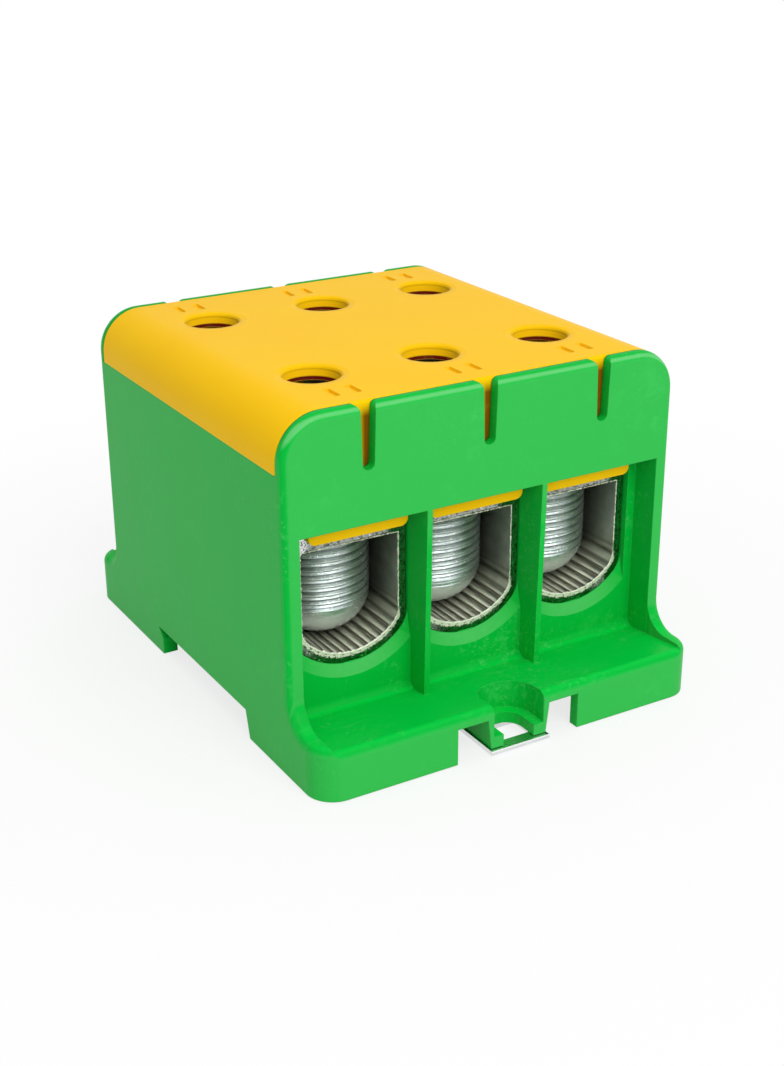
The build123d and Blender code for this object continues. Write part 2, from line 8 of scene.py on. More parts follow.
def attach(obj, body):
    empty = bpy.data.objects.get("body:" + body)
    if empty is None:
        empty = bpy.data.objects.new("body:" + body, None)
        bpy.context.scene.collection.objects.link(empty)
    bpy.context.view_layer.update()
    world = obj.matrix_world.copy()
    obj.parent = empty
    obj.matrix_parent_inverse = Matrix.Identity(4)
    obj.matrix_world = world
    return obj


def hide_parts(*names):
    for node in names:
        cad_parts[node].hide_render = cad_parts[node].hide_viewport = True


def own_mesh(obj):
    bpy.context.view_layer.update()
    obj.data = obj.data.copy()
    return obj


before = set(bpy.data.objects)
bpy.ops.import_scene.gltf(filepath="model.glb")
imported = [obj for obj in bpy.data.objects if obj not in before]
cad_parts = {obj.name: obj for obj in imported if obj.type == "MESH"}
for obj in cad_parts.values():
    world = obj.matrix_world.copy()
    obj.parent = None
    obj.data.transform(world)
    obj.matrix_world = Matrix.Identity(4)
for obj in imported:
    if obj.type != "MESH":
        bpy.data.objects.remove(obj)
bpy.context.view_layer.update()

# Sizes and places are in millimetres, unless a comment says otherwise
MM = 0.001
PITCH = 22.5
POLES = (-PITCH, 0.0, PITCH)
SCREW_Y = 19.0
BODY_END = 30.9

# Faces of the housing from the block's middle, and heights where its tones and its painted light and
# shade change
PANEL_FACE = 37.4
SIDE_FACE = 37.7
APRON_FACE = 47.7
CORNER_OUT = 38.0
CORNER_SIDE = 30.0
APRON_BELOW = 16.0
FILLET_TOP = 9.8
COVER_EDGE_Z = 44.0

# Cover: its end from the middle, its top in metres, and the recesses round each access hole
COVER_END = 35.3
COVER_TOP = max(vert.co.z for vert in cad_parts["top_cover"].data.vertices)
HOLE_RIM = 5.3
BAR_NEAR = 6.0
BAR_FAR = 13.0
BAR_HALF = 3.2
SLOT_NEAR = 15.2
SLOT_LEFT = -0.9
SLOT_RIGHT = 2.0

# Clamping screw: M18 x 1.5 thread over a rounded tip
THREAD_PITCH = 1.5
CREST_R = 8.93
ROOT_R = 8.5
SCREW_R = 8.96
TIP_EDGE = 7.6
TIP_EDGE_STEPS = 20
SCREW_TIP = 16.68
SCREW_TOP = 41.6
DOME_Z = 20.5
THREAD_FROM = 23.6
KEY_AF = 8.0
KEY_DEEP = 9.0
ROD_SIDES = 96
TURN_STEPS = 72
# Depth of the thread over one pitch, 0 at the crest and 1 at the root; a rolled crest keeps a seam
THREAD_DEPTH = (1.0, 0.7, 0.28, 0.0, 0.3, 0.45, 0.3, 0.0, 0.28, 0.7, 1.0)
THREAD_GRAIN = 0.6
THREAD_UNEVEN = 0.03
THREAD_MERGE = 0.01
THREAD_SPARE = 0.5
ROD_SPARE = 1.0
SCREW_SMOOTH = 26
TURN_SEED = 7

# Bore outline of a terminal body, where its tones and its painted light and shade change, and the torn
# edge that runs round it
BORE_HALF = 9.1
BORE_R = 11.5
BORE_CORNER = 3.5
BORE_TOP = 36.0
ARC_Z = 27.8
GROOVE_STEP = 1.6
RIDGES_BELOW = 22.5
FLOOR_BELOW = 18.0
BRIGHT_FROM = 31.0
BRIGHT_SIDE = -7.5
ARC_STEPS, CORNER_STEPS, SIDE_STEPS, ROOF_STEPS = 20, 8, 24, 20
SIDE_WIDTH = 0.5
ROOF_WIDTH = 0.4
BURR_R = 0.2
BURR_PARTS = 4
BURR_GRAIN = 0.3
BURR_UNEVEN = 0.5
BURR_FLAT = 0.45
BURR_SHIFT = 10.0
BURR_SMOOTH = 60

# Spring of the rail latch, its axis along Y
COIL_R = 1.95
WIRE_R = 0.25
WIRE_SIDES = 14
COIL_TURNS = 6
COIL_STEPS = 36
COIL_Z = 6.6
COIL_ROOM = 8.4
COIL_FIT = 0.05
COIL_MERGE = 0.005
COIL_SMOOTH = 50
COIL_WALL = -30.0

# Roundings that the shaders show along sharp edges
PLASTIC_EDGE = 0.22
BODY_EDGE = 0.15
METAL_EDGE = 0.1

# Green plastic, with painted light on what faces up, a painted sheen on the outer walls, painted
# highlights along edges and roundings, and painted shade in the gap under the cover
GREEN_PLAIN = (0.001, 0.49, 0.047)
GREEN_DEEP = (0.001, 0.46, 0.043)
GREEN_RUB_AND_EDGE_GLINT = (0.06, 0.64, 0.13)
GREEN_APRON_TOPLIT = (0.001, 0.59, 0.056)
GREEN_OUTER_SHEEN = (0.034, 0.49, 0.078)
GREEN_ROUNDING_HIGHLIGHT = (0.26, 0.68, 0.30)
GREEN_GAP_SHADE = (0.001, 0.10, 0.01)
GREEN_SCUFF = (0.12, 0.64, 0.19)

# Yellow plastic, with painted light in the recessed bars and painted shade in the access holes and in
# the slots' ends
YELLOW_PLAIN = (1.0, 0.59, 0.003)
YELLOW_DEEP = (1.0, 0.57, 0.002)
YELLOW_RUB_AND_EDGE_GLINT = (1.0, 0.70, 0.05)
YELLOW_BAR_FILL_LIGHT = (1.0, 0.62, 0.01)
HOLE_DEPTH_SHADE = (0.12, 0.004, 0.002)
SLOT_DARK = (0.16, 0.035, 0.002)

# Zinc of the screws, with painted highlights and glints, painted shade in the thread's roots and a
# painted sheen on the rounded tip
ZINC_PLAIN = (0.44, 0.50, 0.50)
ZINC_STAIN = (0.32, 0.37, 0.37)
ZINC_DASH = (0.22, 0.26, 0.24)
ZINC_HIGHLIGHT_LINE = (0.80, 0.85, 0.84)
ZINC_GLINT = (0.95, 0.97, 0.96)
ZINC_DOME_SHEEN = (0.68, 0.74, 0.73)
ZINC_ROOT_SHADE = (0.08, 0.11, 0.09)
ZINC_CREST_HIGHLIGHT = (0.88, 0.92, 0.90)

# Tin of the terminal bodies: painted shade on the bore walls and in the floor's grooves, painted light
# on the floor, and a painted highlight and a painted reflection on the ends
TIN_WALL_SHADED = (0.56, 0.57, 0.48)
TIN_WALL_SHADED_STAIN = (0.38, 0.39, 0.34)
TIN_FLOOR_LIT = (1.0, 0.98, 0.86)
TIN_FLOOR_LIT_STAIN = (0.86, 0.84, 0.74)
TIN_GROOVE_SHADE = (0.34, 0.33, 0.27)
TIN_END = (0.34, 0.37, 0.33)
TIN_END_GREEN_REFLECTION = (0.13, 0.18, 0.13)
TIN_END_HIGHLIGHT = (0.78, 0.78, 0.78)
TIN_PIT = (0.03, 0.05, 0.03)
TIN_GLINT = (0.75, 0.76, 0.68)
TIN_TORN = (0.80, 0.78, 0.64)

# Latch plate, latch spring and torn edges, each with its duller tone
SHEET_PLAIN, SHEET_DULL = (0.80, 0.82, 0.82), (0.62, 0.65, 0.65)
WIRE_PLAIN, WIRE_DULL = (0.55, 0.55, 0.56), (0.38, 0.38, 0.39)
BURR_PLAIN, BURR_DULL = (0.90, 0.90, 0.76), (0.70, 0.70, 0.58)

# Stage: sizes and places in metres, and how bright the floor and the surround are
FLOOR_SIZE = 6.0
FLOOR_DROP = 0.0002
FLOOR_GREY = (0.9, 0.9, 0.9)
WHITE = (1.0, 1.0, 1.0)
FLOOR_GLOW = 0.78
GLOW_FROM, GLOW_FULL = 0.05, 0.16
SURROUND_LIGHT = 0.52
SURROUND_SEEN = 1.0
LAMP_AIM = (0, 0, 0.03)

# Camera fitted to the photograph: turn in degrees, focus and shift in the photograph's pixels
VIEW_TURN = (-30.011, 22.8, -0.481)
VIEW_TARGET = (-1.738, -3.826, 23.648)
VIEW_AWAY = 293.12
PHOTO_TALL = 1066
VIEW_FOCUS = 1594.97
VIEW_SHIFT = (14.77, -1.38)
FILM = 36.0


# Modelling helpers
def clear():
    """Leaves edit mode and deselects everything."""
    if bpy.context.mode != "OBJECT":
        bpy.ops.object.mode_set(mode="OBJECT")
    bpy.ops.object.select_all(action="DESELECT")


def work_on(obj):
    """Selects one object alone and makes it active."""
    clear()
    obj.select_set(True)
    bpy.context.view_layer.objects.active = obj


def settle(obj):
    """Moves the object's place into its mesh."""
    work_on(obj)
    bpy.ops.object.transform_apply(location=True, rotation=True, scale=True)


def edit_all():
    """Enters edit mode with the whole mesh selected."""
    bpy.ops.object.mode_set(mode="EDIT")
    bpy.ops.mesh.select_all(action="SELECT")


def drop_selection():
    """Deselects the whole mesh and leaves edit mode."""
    bpy.ops.mesh.select_all(action="DESELECT")
    bpy.ops.object.mode_set(mode="OBJECT")


def face_outwards():
    """Turns all faces of the mesh in edit mode outwards, and leaves edit mode."""
    bpy.ops.mesh.select_all(action="SELECT")
    bpy.ops.mesh.normals_make_consistent(inside=False)
    clear()


def use_modifier(obj, kind, **values):
    """Adds a modifier with its values and applies it."""
    work_on(obj)
    tool = obj.modifiers.new(kind.lower(), kind)
    for key, value in values.items():
        setattr(tool, key, value)
    bpy.ops.object.modifier_apply(modifier=tool.name)


def wind(obj, rise, turns, steps):
    """Winds the mesh round the Z axis, so many millimetres up in each turn."""
    use_modifier(
        obj,
        "SCREW",
        angle=2 * math.pi,
        screw_offset=rise * MM,
        iterations=turns,
        steps=steps,
        render_steps=steps,
    )


def join_solids(obj, other, how):
    """Boolean of two closed pieces; the other one is used up."""
    use_modifier(obj, "BOOLEAN", operation=how, object=other, solver="EXACT")
    bpy.data.objects.remove(other)


def roughen(obj, grain, height):
    """Pushes the surface in and out by a cloudy pattern."""
    cloud = bpy.data.textures.new("uneven", "CLOUDS")
    cloud.noise_scale = grain * MM
    cloud.noise_depth = 2
    use_modifier(obj, "DISPLACE", texture=cloud, strength=height * MM, mid_level=0.5)
    bpy.data.textures.remove(cloud)


def cut_level(z, upwards):
    """Cuts the mesh in edit mode at a height and closes it; the part beyond the cut goes."""
    bpy.ops.mesh.select_all(action="SELECT")
    bpy.ops.mesh.bisect(
        plane_co=(0, 0, z * MM),
        plane_no=(0, 0, 1 if upwards else -1),
        use_fill=True,
        clear_outer=True,
        threshold=1e-6,
    )


def smooth(obj, degrees):
    """Shades the object smooth, apart from edges sharper than the angle."""
    work_on(obj)
    bpy.ops.object.shade_smooth_by_angle(angle=math.radians(degrees))


# Shader building
class Graph:
    """Short way to add and link nodes in one tree."""

    def __init__(self, tree):
        self.tree = tree

    def node(self, kind, ins=None, **props):
        """A new node with its properties set and its named inputs fed."""
        made = self.tree.nodes.new(kind)
        for key, value in props.items():
            setattr(made, key, value)
        for key, value in (ins or {}).items():
            self.feed(made.inputs[key], value)
        return made

    def feed(self, socket, value):
        """Links another socket to this one, or sets its constant."""
        if isinstance(value, bpy.types.NodeSocket):
            self.tree.links.new(value, socket)
        elif isinstance(value, tuple) and socket.type == "RGBA":
            socket.default_value = (*value, 1.0)
        else:
            socket.default_value = value

    def maths(self, operation, a, b=0.0, c=0.0, clamp=False):
        """Result of a Math node."""
        made = self.node("ShaderNodeMath", operation=operation, use_clamp=clamp)
        self.feed(made.inputs[0], a)
        self.feed(made.inputs[1], b)
        self.feed(made.inputs[2], c)
        return made.outputs[0]

    def times(self, first, *more):
        """All the values multiplied, from the first on."""
        for value in more:
            first = self.maths("MULTIPLY", first, value)
        return first

    def largest(self, first, *more):
        """The largest of the values."""
        for value in more:
            first = self.maths("MAXIMUM", first, value)
        return first

    def scaled(self, value, factor, base):
        """The value times the factor, plus the base."""
        return self.maths("MULTIPLY_ADD", value, factor, base)

    def less(self, value, taken):
        """The value less what is taken from it."""
        return self.maths("SUBTRACT", value, taken)

    def absolute(self, value):
        """The value without its sign."""
        return self.maths("ABSOLUTE", value)

    def distance(self, a, b):
        """Length of the diagonal over two offsets."""
        a, b = self.maths("POWER", a, 2.0), self.maths("POWER", b, 2.0)
        return self.maths("SQRT", self.maths("ADD", a, b))

    def place(self):
        """Where a point lies, in the piece's own axes."""
        return self.node("ShaderNodeTexCoord").outputs["Object"]

    def faced(self):
        """The way a surface faces, in the piece's own axes."""
        return self.node("ShaderNodeTexCoord").outputs["Normal"]

    def parts(self, vector):
        """X, Y and Z of a vector."""
        return self.node("ShaderNodeSeparateXYZ", {"Vector": vector}).outputs

    def off_pole(self, x):
        """Sideways offset from the middle of the nearest pole."""
        return self.maths("WRAP", x, PITCH / 2 * MM, -PITCH / 2 * MM)

    def off_screw(self, split):
        """Offsets along X and Y from the nearest screw's axis, and the distance from it."""
        side = self.off_pole(split["X"])
        reach = self.less(self.absolute(split["Y"]), SCREW_Y * MM)
        return side, reach, self.distance(side, reach)

    def noise(self, vector, scale, detail=3.0, rough=0.5):
        """Cloudy pattern between 0 and 1, its scale in grains for each metre."""
        made = self.node("ShaderNodeTexNoise", {"Scale": scale, "Detail": detail, "Roughness": rough})
        self.feed(made.inputs["Vector"], vector)
        return made.outputs["Fac"]

    def drawn_noise(self, vector, scales, detail, rough):
        """Cloudy pattern with its own scale along each axis."""
        made = self.node("ShaderNodeMapping", {"Scale": scales})
        self.feed(made.inputs["Vector"], vector)
        return self.noise(made.outputs[0], 1.0, detail, rough)

    def band(self, value, low, high):
        """0 at low, 1 at high, level outside them."""
        made = self.node("ShaderNodeMapRange", {"From Min": low, "From Max": high})
        self.feed(made.inputs["Value"], value)
        return made.outputs["Result"]

    def at(self, value, low, high):
        """The same as band, for a place or size, with both ends in millimetres."""
        return self.band(value, low * MM, high * MM)

    def blend(self, fac, a, b):
        """From colour a at 0 to colour b at 1."""
        made = self.node("ShaderNodeMix", data_type="RGBA")
        self.feed(made.inputs["Factor"], fac)
        self.feed(made.inputs[6], a)
        self.feed(made.inputs[7], b)
        return made.outputs[2]

    def bump(self, height, normal, strength, distance):
        """The normal, tilted by a height that is never built."""
        made = self.node("ShaderNodeBump", {"Strength": strength, "Distance": distance})
        self.feed(made.inputs["Height"], height)
        self.feed(made.inputs["Normal"], normal)
        return made.outputs[0]

    def use(self, group, **ins):
        """Outputs of a shared group with its inputs fed."""
        made = self.node("ShaderNodeGroup", node_tree=group)
        for key, value in ins.items():
            self.feed(made.inputs[key], value)
        return made.outputs


SOCKETS = {"f": "NodeSocketFloat", "v": "NodeSocketVector"}


def new_group(name, inputs, outputs):
    """An empty node group: itself, its graph, its inputs and its outputs."""
    group = bpy.data.node_groups.new(name, "ShaderNodeTree")
    for label, kind in inputs:
        group.interface.new_socket(name=label, in_out="INPUT", socket_type=SOCKETS[kind])
    for label, kind in outputs:
        group.interface.new_socket(name=label, in_out="OUTPUT", socket_type=SOCKETS[kind])
    source = group.nodes.new("NodeGroupInput")
    sink = group.nodes.new("NodeGroupOutput")
    return group, Graph(group), source.outputs, sink.inputs


def edge_group():
    """Rounded normal at sharp edges, and a mask along them."""
    group, g, given, result = new_group(
        "softened_edges",
        [("Radius", "f")],
        [("Normal", "v"), ("Edge", "f")],
    )
    soft = g.node("ShaderNodeBevel", samples=4)
    g.feed(soft.inputs["Radius"], given["Radius"])
    plain = g.node("ShaderNodeNewGeometry")
    turn = g.node("ShaderNodeVectorMath", operation="DOT_PRODUCT")
    g.feed(turn.inputs[0], soft.outputs[0])
    g.feed(turn.inputs[1], plain.outputs["Normal"])
    g.feed(result["Normal"], soft.outputs[0])
    g.feed(result["Edge"], g.band(g.less(1.0, turn.outputs["Value"]), 0.01, 0.2))
    return group


def skin_group():
    """Moulded plastic skin: fine eroded texture, slow tone drift and rubbed streaks."""
    group, g, given, result = new_group(
        "moulded_skin",
        [("Rubbing", "f")],
        [("Height", "f"), ("Drift", "f"), ("Rub", "f")],
    )
    place = g.place()
    fine = g.noise(place, 2600.0, 2.0, 0.6)
    wave = g.noise(place, 420.0, 2.0, 0.5)
    g.feed(result["Height"], g.maths("ADD", g.times(fine, 0.35), g.times(wave, 0.65)))
    g.feed(result["Drift"], g.band(g.noise(place, 60.0), 0.3, 0.7))
    streak = g.band(g.drawn_noise(place, (260.0, 900.0, 260.0), 4.0, 0.65), 0.52, 0.7)
    patch = g.band(g.noise(place, 85.0, 2.0, 0.5), 0.5, 0.66)
    g.feed(result["Rub"], g.times(streak, patch, given["Rubbing"]))
    return group


def marks_group():
    """Fine marks of worked metal drawn out along one axis, and an uneven coat."""
    group, g, given, result = new_group(
        "worked_metal",
        [("Across", "v")],
        [("Lines", "f"), ("Stain", "f")],
    )
    place = g.place()
    lined = g.node("ShaderNodeVectorMath", operation="MULTIPLY")
    g.feed(lined.inputs[0], place)
    g.feed(lined.inputs[1], given["Across"])
    g.feed(result["Lines"], g.noise(lined.outputs[0], 1.0, 3.0, 0.6))
    g.feed(result["Stain"], g.band(g.noise(place, 330.0, 4.0, 0.6), 0.35, 0.7))
    return group


EDGES = edge_group()
SKIN = skin_group()
MARKS = marks_group()


def new_material(name):
    """A material, a graph to build in and the inputs of its Principled shader."""
    made = bpy.data.materials.new(name)
    made.use_nodes = True
    return made, Graph(made.node_tree), made.node_tree.nodes["Principled BSDF"].inputs


def housing_tones(g, tone, normal):
    """Painted sheen on the outer walls, painted light on what faces up, a painted highlight line on
    the roundings, painted shade in the gap under the cover, and scuffs.
    """
    split, facing = g.parts(g.place()), g.parts(g.faced())
    across, along = g.absolute(split["X"]), g.absolute(split["Y"])
    up = facing["Z"]
    leans = [g.absolute(facing[axis]) for axis in "XYZ"]

    panel = g.times(
        g.at(along, PANEL_FACE - 0.2, PANEL_FACE - 0.05),
        g.at(along, PANEL_FACE + 0.2, PANEL_FACE + 0.05),
    )
    side = g.times(g.at(across, SIDE_FACE - 0.2, SIDE_FACE - 0.1), 0.7)
    end = g.at(along, APRON_FACE - 0.4, APRON_FACE - 0.2)
    corner = g.times(
        g.at(along, CORNER_OUT, CORNER_OUT + 1),
        g.at(across, CORNER_SIDE, CORNER_SIDE + 1),
        0.85,
    )
    outer = g.largest(panel, side, end, corner)
    # Painted light: a lighter, more saturated green where the apron faces up
    apron_toplight = g.times(g.band(up, 0.7, 0.95), g.at(split["Z"], APRON_BELOW + 4, APRON_BELOW))
    tone = g.blend(apron_toplight, tone, GREEN_APRON_TOPLIT)
    # Painted reflection: a paler green sheen on the upright outer walls
    upright = g.band(up, 0.6, 0.2)
    tone = g.blend(g.times(outer, upright), tone, GREEN_OUTER_SHEEN)

    # Painted highlight: a light line along the upward roundings
    rounding_highlight = g.times(
        g.band(g.largest(*leans), 0.96, 0.84),
        g.band(up, 0.3, 0.45),
        g.band(up, 0.85, 0.7),
        g.at(along, PANEL_FACE + 0.3, PANEL_FACE + 0.1),
        g.at(split["Z"], FILLET_TOP, FILLET_TOP + 0.6),
        g.band(leans[1], 0.2, 0.4),
    )
    tone = g.blend(g.times(rounding_highlight, 0.45), tone, GREEN_ROUNDING_HIGHLIGHT)
    # Painted shade: a dark line on the panel's top where it meets the cover
    gap_shade = g.times(
        g.at(along, COVER_END + 0.5, COVER_END + 0.2),
        g.band(up, 0.2, 0.5),
        g.at(along, COVER_END - 0.6, COVER_END - 0.4),
        g.at(split["Z"], COVER_EDGE_Z, COVER_EDGE_Z + 1),
    )
    tone = g.blend(g.times(gap_shade, 0.8), tone, GREEN_GAP_SHADE)

    grain = g.band(g.noise(g.place(), 1100.0, 3.0, 0.7), 0.54, 0.66)
    patch = g.band(g.noise(g.place(), 75.0, 3.0, 0.6), 0.46, 0.62)
    scuff = g.times(grain, patch, g.scaled(outer, -0.22, 0.32))
    return g.blend(scuff, tone, GREEN_SCUFF), normal


def cover_tones(g, tone, normal):
    """Dished rims of the access holes, painted shade on their walls and dark reddish painted shade
    deep in them, painted light in the recessed bars, and shade in the slots' ends.
    """
    split = g.parts(g.place())
    side, reach, around = g.off_screw(split)
    depth = g.less(COVER_TOP, split["Z"])

    inside = g.at(around, HOLE_RIM + 0.3, HOLE_RIM)
    wall = g.times(inside, g.at(depth, 0.3, 0.7))
    # Painted shade: the hole walls take the deeper tone, and dark reddish further down
    tone = g.blend(wall, tone, YELLOW_DEEP)
    tone = g.blend(g.times(inside, g.at(depth, 1.7, 1.9)), tone, HOLE_DEPTH_SHADE)
    # Painted light: the recessed bars lightened against the shade that falls in them
    bar_fill_light = g.times(
        g.at(depth, 0.05, 0.2),
        g.at(depth, 1.2, 0.8),
        g.at(reach, BAR_NEAR, BAR_NEAR + 0.2),
        g.at(g.absolute(side), BAR_HALF + 0.2, BAR_HALF),
        g.at(reach, BAR_FAR, BAR_FAR - 0.2),
    )
    tone = g.blend(bar_fill_light, tone, YELLOW_BAR_FILL_LIGHT)
    slot = g.times(
        g.at(reach, SLOT_NEAR, SLOT_NEAR + 0.2),
        g.at(depth, 0.8, 2.5),
        g.at(side, SLOT_LEFT, SLOT_LEFT + 1.4),
        g.at(side, SLOT_RIGHT, SLOT_RIGHT - 0.2),
    )
    tone = g.blend(g.times(slot, 0.9), tone, SLOT_DARK)
    dish = g.times(g.at(around, HOLE_RIM + 0.9, HOLE_RIM - 0.6), -0.3 * MM)
    return tone, g.bump(g.scaled(wall, depth, dish), normal, 1.0, 1.0)


def moulded_plastic(name, colours, own_tones, rough, rubbing, shine):
    """Satin moulded polyamide with softened edges, in a plain and a deeper colour, and a paler one for
    rubbed wear and for painted highlights along sharp edges.
    """
    plain, deep, rub_and_edge_glint = colours
    made, g, shader = new_material(name)
    skin = g.use(SKIN, Rubbing=rubbing)
    edge = g.use(EDGES, Radius=PLASTIC_EDGE * MM)
    tone = g.blend(skin["Drift"], deep, plain)
    tone, normal = own_tones(g, tone, edge["Normal"])
    # Painted highlight: the paler colour along sharp edges
    tone = g.blend(g.times(edge["Edge"], 0.6), tone, rub_and_edge_glint)
    tone = g.blend(g.times(skin["Rub"], 0.4), tone, rub_and_edge_glint)
    g.feed(shader["Base Color"], tone)
    g.feed(shader["Roughness"], g.scaled(skin["Rub"], 0.18, rough))
    g.feed(shader["Normal"], g.bump(skin["Height"], normal, 0.12, 0.04 * MM))
    shader["Specular IOR Level"].default_value = shine
    return made


def plated_metal(name, colour, dull, rough, across, depth, metal=1.0):
    """Plated metal with its working marks and a slightly uneven coat."""
    made, g, shader = new_material(name)
    marks = g.use(MARKS, Across=across)
    edge = g.use(EDGES, Radius=METAL_EDGE * MM)
    g.feed(shader["Base Color"], g.blend(g.times(marks["Stain"], 0.7), colour, dull))
    shader["Metallic"].default_value = metal
    g.feed(shader["Roughness"], g.scaled(marks["Stain"], 0.14, rough))
    g.feed(shader["Normal"], g.bump(marks["Lines"], edge["Normal"], 0.5, depth * MM))
    return made


def zinc_thread():
    """Bright zinc on the rolled thread: an uneven coat with short lines round the axis, painted
    highlight lines and glints, painted shade in the roots, painted highlights on the crests and a
    painted sheen on the rounded tip.
    """
    made, g, shader = new_material("zinc_screw")
    marks = g.use(MARKS, Across=(700.0, 700.0, 5200.0))
    place = g.place()
    dash = g.band(g.drawn_noise(place, (1300.0, 1300.0, 4200.0), 3.0, 0.7), 0.5, 0.64)
    highlight_lines = g.band(g.drawn_noise(place, (330.0, 330.0, 4600.0), 2.0, 0.6), 0.42, 0.62)
    glint_specks = g.band(g.noise(place, 2400.0, 2.0, 0.6), 0.62, 0.7)
    tone = g.blend(marks["Stain"], ZINC_PLAIN, ZINC_STAIN)
    tone = g.blend(g.times(dash, 0.6), tone, ZINC_DASH)
    # Painted highlights: light lines along the rolling marks round the axis, and tiny white glints
    tone = g.blend(g.times(highlight_lines, 0.42), tone, ZINC_HIGHLIGHT_LINE)
    tone = g.blend(glint_specks, tone, ZINC_GLINT)

    split = g.parts(place)
    around = g.off_screw(split)[2]
    # Painted shade in the thread's roots and painted highlights on its crests
    root_shade = g.times(
        g.at(around, ROOT_R + 0.3, ROOT_R + 0.05),
        g.at(split["Z"], THREAD_FROM, THREAD_FROM + 0.6),
        0.55,
    )
    crest_highlight = g.times(g.at(around, CREST_R - 0.07, CREST_R - 0.01), 0.6)
    # Painted sheen: the rounded tip below the thread is lighter
    tone = g.blend(g.at(split["Z"], DOME_Z + 2, DOME_Z), tone, ZINC_DOME_SHEEN)
    tone = g.blend(root_shade, tone, ZINC_ROOT_SHADE)
    tone = g.blend(crest_highlight, tone, ZINC_CREST_HIGHLIGHT)
    g.feed(shader["Base Color"], tone)
    shader["Metallic"].default_value = 1.0
    g.feed(shader["Roughness"], g.scaled(marks["Stain"], 0.12, 0.30))
    edge = g.use(EDGES, Radius=METAL_EDGE * MM)
    g.feed(shader["Normal"], g.bump(g.less(marks["Lines"], dash), edge["Normal"], 0.5, 0.035 * MM))
    return made


def tinned_body():
    """Terminal body: serrated bore floor, polished ends torn along the bore's rim; painted light on
    the floor, painted shade on the walls and in the floor's grooves, a painted highlight high on the
    ends and a painted dark green reflection low on them.
    """
    made, g, shader = new_material("tinned_body")
    place = g.place()
    split = g.parts(place)
    side = g.off_pole(split["X"])
    height = g.less(split["Z"], ARC_Z * MM)
    end = g.at(g.absolute(split["Y"]), BODY_END - 0.06, BODY_END - 0.02)
    low = g.at(split["Z"], FLOOR_BELOW + 5, FLOOR_BELOW)
    end_highlight = g.times(
        g.at(split["Z"], BRIGHT_FROM, BRIGHT_FROM + 4),
        g.at(side, BRIGHT_SIDE, BRIGHT_SIDE - 1),
    )

    # Torn rim, by the distance outside the bore's outline
    outside = g.largest(
        g.less(g.absolute(side), BORE_HALF * MM),
        g.less(g.distance(side, height), BORE_R * MM),
        g.less(split["Z"], BORE_TOP * MM),
    )
    ragged = g.noise(place, 2300.0, 4.0, 0.75)
    reach = g.times(g.scaled(low, 0.6 * MM, 0.05 * MM), g.scaled(ragged, 3.0, -0.5))
    torn = g.times(g.at(g.less(outside, reach), 0.06, -0.06), end)

    # Ridges of the bore floor, by the angle round its arc
    turn = g.maths("ARCTAN2", side, g.times(height, -1.0))
    ridge = g.maths("COSINE", g.times(turn, 2 * math.pi * BORE_R / GROOVE_STEP))
    ridge = g.times(ridge, g.at(split["Z"], RIDGES_BELOW + 2, RIDGES_BELOW))

    stain = g.band(g.noise(place, 240.0, 4.0, 0.6), 0.35, 0.7)
    drawn = g.drawn_noise(place, (5200.0, 130.0, 5200.0), 3.0, 0.6)
    pits = g.noise(place, 2600.0, 3.0, 0.7)
    glint_spots = g.noise(place, 1900.0, 2.0, 0.6)
    # Painted light and shade: the bore's walls darker and its floor lighter
    wall = g.blend(stain, TIN_WALL_SHADED, TIN_WALL_SHADED_STAIN)
    lit_floor_tone = g.blend(stain, TIN_FLOOR_LIT, TIN_FLOOR_LIT_STAIN)
    # Painted shade in the floor's grooves
    bore = g.blend(g.band(ridge, 0.1, 1.0), g.blend(low, wall, lit_floor_tone), TIN_GROOVE_SHADE)
    # Painted highlight high on the ends' left part, and a painted dark green reflection low on them
    polished_end_painted_light = g.blend(end_highlight, g.blend(low, TIN_END, TIN_END_GREEN_REFLECTION), TIN_END_HIGHLIGHT)
    cut = g.blend(g.band(pits, 0.5, 0.6), polished_end_painted_light, TIN_PIT)
    # Painted glints: light specks on the ends
    cut = g.blend(g.band(glint_spots, 0.62, 0.7), cut, TIN_GLINT)
    g.feed(shader["Base Color"], g.blend(torn, g.blend(end, bore, cut), TIN_TORN))
    g.feed(shader["Metallic"], g.scaled(torn, -0.6, 1.0))
    g.feed(shader["Roughness"], g.scaled(torn, 0.4, g.scaled(end, -0.24, 0.36)))
    marks = g.blend(end, g.scaled(ridge, -2.0, drawn), g.times(pits, 0.3))
    marks = g.scaled(g.times(ragged, torn), 4.0, marks)
    edge = g.use(EDGES, Radius=BODY_EDGE * MM)
    g.feed(shader["Normal"], g.bump(marks, edge["Normal"], 0.5, 0.06 * MM))
    return made


GREEN = moulded_plastic(
    "green_polyamide",
    (GREEN_PLAIN, GREEN_DEEP, GREEN_RUB_AND_EDGE_GLINT),
    housing_tones,
    rough=0.34,
    rubbing=1.0,
    shine=0.06,
)
YELLOW = moulded_plastic(
    "yellow_polyamide",
    (YELLOW_PLAIN, YELLOW_DEEP, YELLOW_RUB_AND_EDGE_GLINT),
    cover_tones,
    rough=0.36,
    rubbing=0.5,
    shine=0.03,
)
TINNED = tinned_body()
ZINC = zinc_thread()
SHEET = plated_metal("zinc_sheet", SHEET_PLAIN, SHEET_DULL, 0.22, (2500.0, 250.0, 2500.0), 0.03)
WIRE = plated_metal("spring_steel", WIRE_PLAIN, WIRE_DULL, 0.28, (900.0, 900.0, 900.0), 0.02)
BURR = plated_metal("torn_edge", BURR_PLAIN, BURR_DULL, 0.5, (3200.0, 3200.0, 3200.0), 0.08, metal=0.5)


def dress(node, material):
    """Puts a material into all slots of a carried-over node."""
    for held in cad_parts[node].material_slots:
        held.material = material


